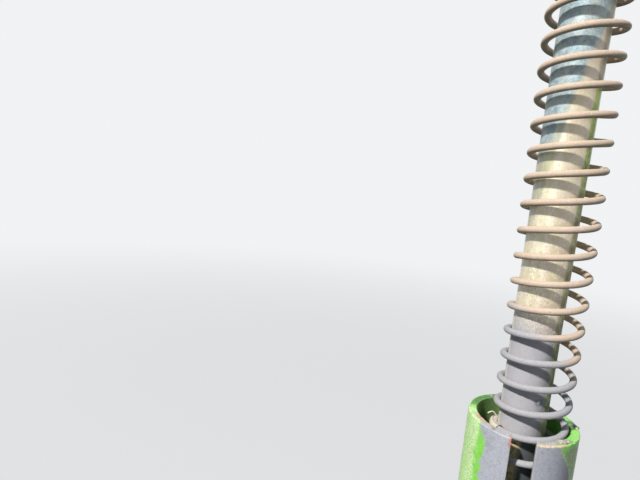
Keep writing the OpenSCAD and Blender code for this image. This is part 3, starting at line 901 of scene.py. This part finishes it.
def saddle(pin_z, side):
    """Where a round shank meets an eye's outside. side is -1 below the pin, 1 above it."""
    return [Vector((p.x, p.y, pin_z + side * sqrt(EYE_OUTER_R ** 2 - p.y ** 2)))
            for p in circle(ROD_R, 0)]


def rounded_loop(corners, radius):
    """A closed path through the corners with each corner cut by an arc-like curve."""
    path = []
    for i, corner in enumerate(corners):
        before = (corners[i - 1] - corner).normalized() * radius
        after = (corners[(i + 1) % len(corners)] - corner).normalized() * radius
        for t in (0, 0.25, 0.5, 0.75, 1):
            path.append(corner + before * (1 - t) ** 2 + after * t ** 2)
    return path


def weld_beads():
    """Beads along every welded joint: eyes, collar, end plate, ribs and the ears' feet."""
    shank_bead = 2.3 * MM
    collar_bead = 2.4 * MM
    top_bead = 2.0 * MM
    plate_bead = 2.8 * MM
    rib_bead = 1.8 * MM
    ear_bead = 3.0 * MM
    ear_corner = 2.5 * MM
    rib_bead_end = 12.5 * MM
    bead("weld_eye_tube", circle(ROD_R + 0.2 * MM, ROD_TOP_Z), shank_bead, *ON_ROD, seed=1)
    bead("weld_upper_eye", saddle(UPPER_PIN_Z, -1), shank_bead, *ON_ROD, seed=2)
    seat_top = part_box("upper_seat")[1].z
    collar_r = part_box("seat_collar")[1].x
    collar_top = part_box("seat_collar")[1].z
    bead("weld_collar_foot", circle(collar_r, seat_top), collar_bead, *ON_ROD, seed=3)
    bead("weld_collar_top", circle(ROD_R + 0.8 * MM, collar_top), top_bead, *ON_ROD, seed=4)
    plate_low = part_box("end_plate")[0].z
    plate_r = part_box("end_plate")[1].x
    bead("weld_end_plate", circle(GUIDE_R, GUIDE_END_Z), plate_bead, *ON_GUIDE, seed=5)
    bead("weld_lower_shank", circle(ROD_R, plate_low), shank_bead, *ON_GUIDE, seed=6)
    bead("weld_lower_eye", saddle(LOWER_PIN_Z, 1), shank_bead, *ON_GUIDE, seed=7)

    rib_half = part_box("guide_ribs")[1].x
    foot_z = LOWER_PIN_Z + rib_bead_end
    reach = plate_r - RIB_INSET
    for side, side_name in ((-1, "front"), (1, "back")):
        corners = [Vector((rib_half, side * y, z)) for y, z in (
            (ROD_R, foot_z), (ROD_R, plate_low), (reach, plate_low))]
        corners += [Vector((-p.x, p.y, p.z)) for p in reversed(corners)]
        bead("weld_rib_" + side_name, corners, rib_bead, *ON_GUIDE, closed=False, seed=8 + side)

    for end, face_z, inward in (("upper", cad_box[1].z, -1), ("lower", cad_box[0].z, 1)):
        z = face_z + inward * BASE_THICKNESS
        for side, side_name in ((-1, "left"), (1, "right")):
            corners = [Vector((side * x, y, z)) for x, y in (
                (EAR_INNER_X, -EAR_HALF_WIDTH), (EAR_OUTER_X, -EAR_HALF_WIDTH),
                (EAR_OUTER_X, EAR_HALF_WIDTH), (EAR_INNER_X, EAR_HALF_WIDTH))]
            bead("weld_" + end + "_ear_" + side_name, rounded_loop(corners, ear_corner), ear_bead,
                 end + "_bracket", "bracket_paint", "bracket_paint", seed=20 + side)


def turned(profile, base, along, sides=28):
    """Points and faces of a turned shape. profile holds (radius, height) in millimetres."""
    side = along.orthogonal().normalized()
    up = along.cross(side)
    points = []
    for r, h in profile:
        for t in all_round(sides):
            points.append(base + along * (h * MM) + (side * cos(t) + up * sin(t)) * (r * MM))
    return points, tube_faces(len(profile), sides)


def joined(parts):
    """Several point and face lists as one."""
    points = []
    faces = []
    for more_points, more_faces in parts:
        start = len(points)
        points += more_points
        faces += [tuple(start + i for i in f) for f in more_faces]
    return points, faces


def grease_nipples():
    """A grease nipple in the front of each eye, between the ears."""
    out = Vector((0, -1, 0))
    sunk = 0.8 * MM
    hexagon = [(0.1, 0), (4.0, 0), (4.6, 0.3), (4.6, 3.3), (4.0, 3.8), (0.1, 3.8)]
    head = [(0.1, 3), (2.5, 3), (2.4, 5.4), (1.9, 6.0), (1.9, 6.8), (3.0, 8.2), (3.2, 9.2), (2.9, 10.2),
            (2.1, 10.9), (1.0, 11.1), (0.7, 10.6), (0.1, 10.5)]
    for name, pin_z, body, slot_name in (("upper", UPPER_PIN_Z, "rod", "rod_zinc"),
                                         ("lower", LOWER_PIN_Z, "guide", "guide_paint")):
        base = Vector((0, sunk - EYE_OUTER_R, pin_z))
        parts = [turned(hexagon, base, out, 6), turned(head, base, out)]
        piece(name + "_grease_nipple", *joined(parts), body, slot_name, "pin_zinc", sharp=40)


def split_pins():
    """Split pins as bent wire: a round eye, two legs through the pin and their tips spread."""
    wire_mm = 1.22
    loop_mm = 4.5
    loop_y_mm = -18.25
    sides = 12
    outline = [(10.5, 10.2), (11.6, 7.6), (12.6, 5.0), (12.4, 2.8), (11.2, 1.5), (9.4, wire_mm),
               (0, wire_mm), (-11, wire_mm), (-13.2, 1.6)]
    for degrees in range(40, 321, 10):
        t = radians(degrees)
        outline.append((loop_y_mm + loop_mm * cos(t), loop_mm * sin(t)))
    outline += [(-13.2, -1.6), (-11, -wire_mm), (0, -wire_mm), (8.8, -wire_mm), (10.8, -1.5), (11.9, -2.8),
                (12.0, -4.6), (11.2, -7.0)]
    for end, turn in (("upper", 1), ("lower", -1)):
        node = end + "_split_pin"
        low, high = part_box(node)
        x = (low.x + high.x) / 2
        z = (low.z + high.z) / 2
        spots = resample([Vector((x, turn * y * MM, z + turn * h * MM)) for y, h in outline], 0.5 * MM)
        points = sweep(spots, wire_mm * MM, sides)
        faces = tube_faces(len(spots), sides)
        piece("bent_" + node, points, faces, end + "_bracket", "pin_zinc", "pin_zinc", (node,), 50)


def crumbs():
    """Crumbs of dirt on the rim, most of them to the right of the slot."""
    # Degrees from the slot, distance from the axis and size in millimetres
    spots = [(29, 39.3, 1.0), (33, 38.9, 1.5), (36, 40.4, 1.4), (39, 39.0, 2.1), (41.5, 40.8, 1.5),
             (44, 39.3, 2.0), (46.5, 40.9, 1.9), (49, 39.6, 1.6), (51, 41.6, 1.7), (54, 40.4, 1.3),
             (57, 41.8, 0.9), (22, 40.8, 0.7), (94, 42.2, 1.5), (97.5, 42.6, 1.8), (101, 42.1, 1.3),
             (-35, 42.6, 1.7), (-38, 42.4, 0.8), (-33, 40.8, 0.4), (122, 40.5, 0.7), (-140, 40.5, 0.8),
             (165, 41.0, 0.6)]
    rings = 6
    sides = 9
    flatness = 0.55
    parts = []
    for i, (turn, radius, size) in enumerate(spots):
        middle = at(turn, radius, 0.25 * size)
        points = []
        for a in range(rings + 1):
            lift = pi * a / rings
            wide = sin(lift)
            for t in all_round(sides):
                p = Vector((wide * cos(t), wide * sin(t), flatness * cos(lift)))
                lump = 1 + 0.55 * noise.noise(p * 1.4 + Vector((i * 3.1, 0, 0)))
                points.append(middle + Vector((p.x * 1.25, p.y, p.z)) * lump * size * MM)
        parts.append((points, tube_faces(rings + 1, sides)))
    piece("rim_crumbs", *joined(parts), "guide", "guide_paint", "crumb", sharp=50)


def chaff():
    """A dry husk in two strips round one of the spring's turns inside the rim, and its hooked stalk."""
    husk_turn = 7.447
    husk_run = 0.17
    husk_skin = 0.35 * MM
    stalk_turn = 7.44
    steps = 20
    across = 8
    parts = []
    for low, high in ((-42, 70), (84, 160)):
        points = []
        for i in range(steps + 1):
            share = i / steps
            open_up = min(1, 0.2 + 3 * share)
            lift = (0.15 + 0.25 * sin(7 * share) ** 2 + 0.9 * share ** 6) * MM
            wide = open_up * (high - low)
            angles = [(low + high) / 2 + wide * (k / across - 0.5) for k in range(across + 1)]
            for reach, edge in ((WIRE_R + lift + husk_skin, angles), (WIRE_R + lift, reversed(angles))):
                points += [wire_point(husk_turn + husk_run * share, reach * cos(radians(t)),
                                      reach * sin(radians(t))) for t in edge]
        parts.append((points, tube_faces(steps + 1, 2 * (across + 1))))
    foot = wire_point(stalk_turn)
    # The stalk's points, right of its foot and above it, in millimetres
    hook = [foot + (RIGHT * x + UP * y) * MM for x, y in (
        (1.2, 0.8), (-1.0, 1.9), (-2.2, 3.7), (-3.0, 5.2), (-4.2, 5.9), (-5.6, 6.0), (-7.3, 5.4),
        (-8.8, 4.5))]
    stalk = resample(hook, 0.5 * MM)
    for _ in range(3):
        middle = [(a + 2 * b + c) / 4 for a, b, c in zip(stalk, stalk[1:], stalk[2:])]
        stalk = [stalk[0]] + middle + [stalk[-1]]
    parts.append((sweep(stalk, 0.6 * MM, 8), tube_faces(len(stalk), 8)))
    obj = piece("chaff", *joined(parts), "rod", "spring_wire", "straw", sharp=60)
    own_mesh(obj)


def plug_welds():
    """Three plug welds that hold the lower spring seat inside the guide tube."""
    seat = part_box("lower_seat")
    z = (seat[0].z + seat[1].z) / 2
    profile = [(6.2, -0.7), (5.9, 0.0), (5.0, 0.35), (3.9, 0.42), (2.6, 0.2), (1.2, 0.05), (0.1, 0.02)]
    parts = []
    for turn in (62, 180, 298):
        out = Vector((sin(radians(turn)), -cos(radians(turn)), 0))
        parts.append(turned(profile, out * GUIDE_R + Vector((0, 0, z)), out, 32))
    piece("plug_welds", *joined(parts), "guide", "guide_paint", "guide_plain", sharp=50)


def camera():
    """The camera where the photograph's stood."""
    data = bpy.data.cameras.new("camera")
    data.sensor_width = SENSOR_MM
    data.lens = LENS_MM
    data.clip_start = 0.01
    obj = add_object("camera", data)
    back = RIGHT.cross(UP)
    turn = Matrix((RIGHT, UP, back)).transposed().to_4x4()
    obj.matrix_world = Matrix.Translation(VIEWPOINT) @ turn
    bpy.context.scene.camera = obj


def area_light(name, place, target, size, power, colour=(1, 1, 1)):
    """A round lamp, size metres across, that faces its target."""
    data = bpy.data.lights.new(name, "AREA")
    data.shape = "DISK"
    data.size = size
    data.energy = power
    data.color = colour
    obj = add_object(name, data)
    obj.location = place
    obj.rotation_euler = (Vector(target) - Vector(place)).to_track_quat("-Z", "Y").to_euler()


def pale_world():
    """An even pale world, which lights the strut more dimly than it looks."""
    world = bpy.data.worlds.new("studio")
    bpy.context.scene.world = world
    g = Graph(world)
    g.put(g.nodes["Background"].inputs["Color"], g.mix(g.seen(), AMBIENT, BACKDROP))


def pale_floor():
    """A pale floor that fades into the world further out."""
    g = Paint("floor")
    paint = g.finish(g.mix(g.seen(), FLOOR_LIGHTING, FLOOR_SEEN), 0.9, specular=0.0)
    glow = g.nodes.new("ShaderNodeEmission")
    g.put(glow.inputs["Color"], BACKDROP)
    far = g.step(g.vector_math("LENGTH", g.place)["Value"], *FLOOR_FADE)
    fade = g.nodes.new("ShaderNodeMixShader")
    g.put(fade.inputs["Fac"], g.times(g.blend(far, FLOOR_GLOW, 1), g.seen()))
    g.put(fade.inputs[1], g.shader.outputs[0])
    g.put(fade.inputs[2], glow.outputs[0])
    g.put(g.nodes["Material Output"].inputs["Surface"], fade.outputs[0])

    corners = [(x * FLOOR_HALF, y * FLOOR_HALF, FLOOR_Z) for x, y in ((-1, -1), (1, -1), (1, 1), (-1, 1))]
    mesh = new_mesh("floor", corners, [(0, 1, 2, 3)])
    mesh.materials.append(paint)
    floor = add_object("floor", mesh)


def lamps():
    """A soft key from where the sun stands, and two weak lamps."""
    middle = Vector((0, 0, RIM_Z + 0.1))
    key_place = middle + KEY_DIRECTION * 4
    area_light("key", key_place, middle, size=0.26, power=205, colour=(1, 0.975, 0.93))
    area_light("fill", (1.7, -1.2, RIM_Z + 0.3), middle, size=1.4, power=1.8, colour=(0.86, 0.94, 1))
    area_light("back", (0.9, 1.7, RIM_Z + 0.9), middle, size=1.2, power=6)


def dress_nodes():
    """Every CAD node that keeps its form: rounded edges and its own finish."""
    finishes = {
        "rod_zinc": ["rod_eye", "rod_tube"],
        "pin_zinc": ["upper_seat", "seat_collar", "slot_roller", "guide_bolt"],
        "bush_bronze": ["rod_eye_bush", "rod_bush", "guide_eye_bush"],
        "block_plastic": ["slide_block"],
        "guide_plain": ["lower_seat", "end_plate", "guide_eye", "guide_ribs"],
        "bracket_paint": [],
    }
    for end in ("upper_", "lower_"):
        finishes["bracket_paint"] += [end + part for part in ("base_plate", "ear_left", "ear_right")]
        finishes["pin_zinc"] += [end + part for part in ("pin", "washer")]
    finish_of = {node: material for material, nodes in finishes.items() for node in nodes}
    slots = {s["node"]: s["material_slot"] for s in frame["record"]["subparts"]}
    for body, nodes in frame["record"]["behaviour"]["bodies"].items():
        for node in nodes:
            if node in finish_of:
                bevelled(node, body, slots[node], finish_of[node])


bpy.context.scene.view_settings.view_transform = "Standard"
camera()
pale_world()
pale_floor()
lamps()
coil_spring()
dress_nodes()
guide_tube()
weld_beads()
grease_nipples()
split_pins()
plug_welds()
crumbs()
chaff()
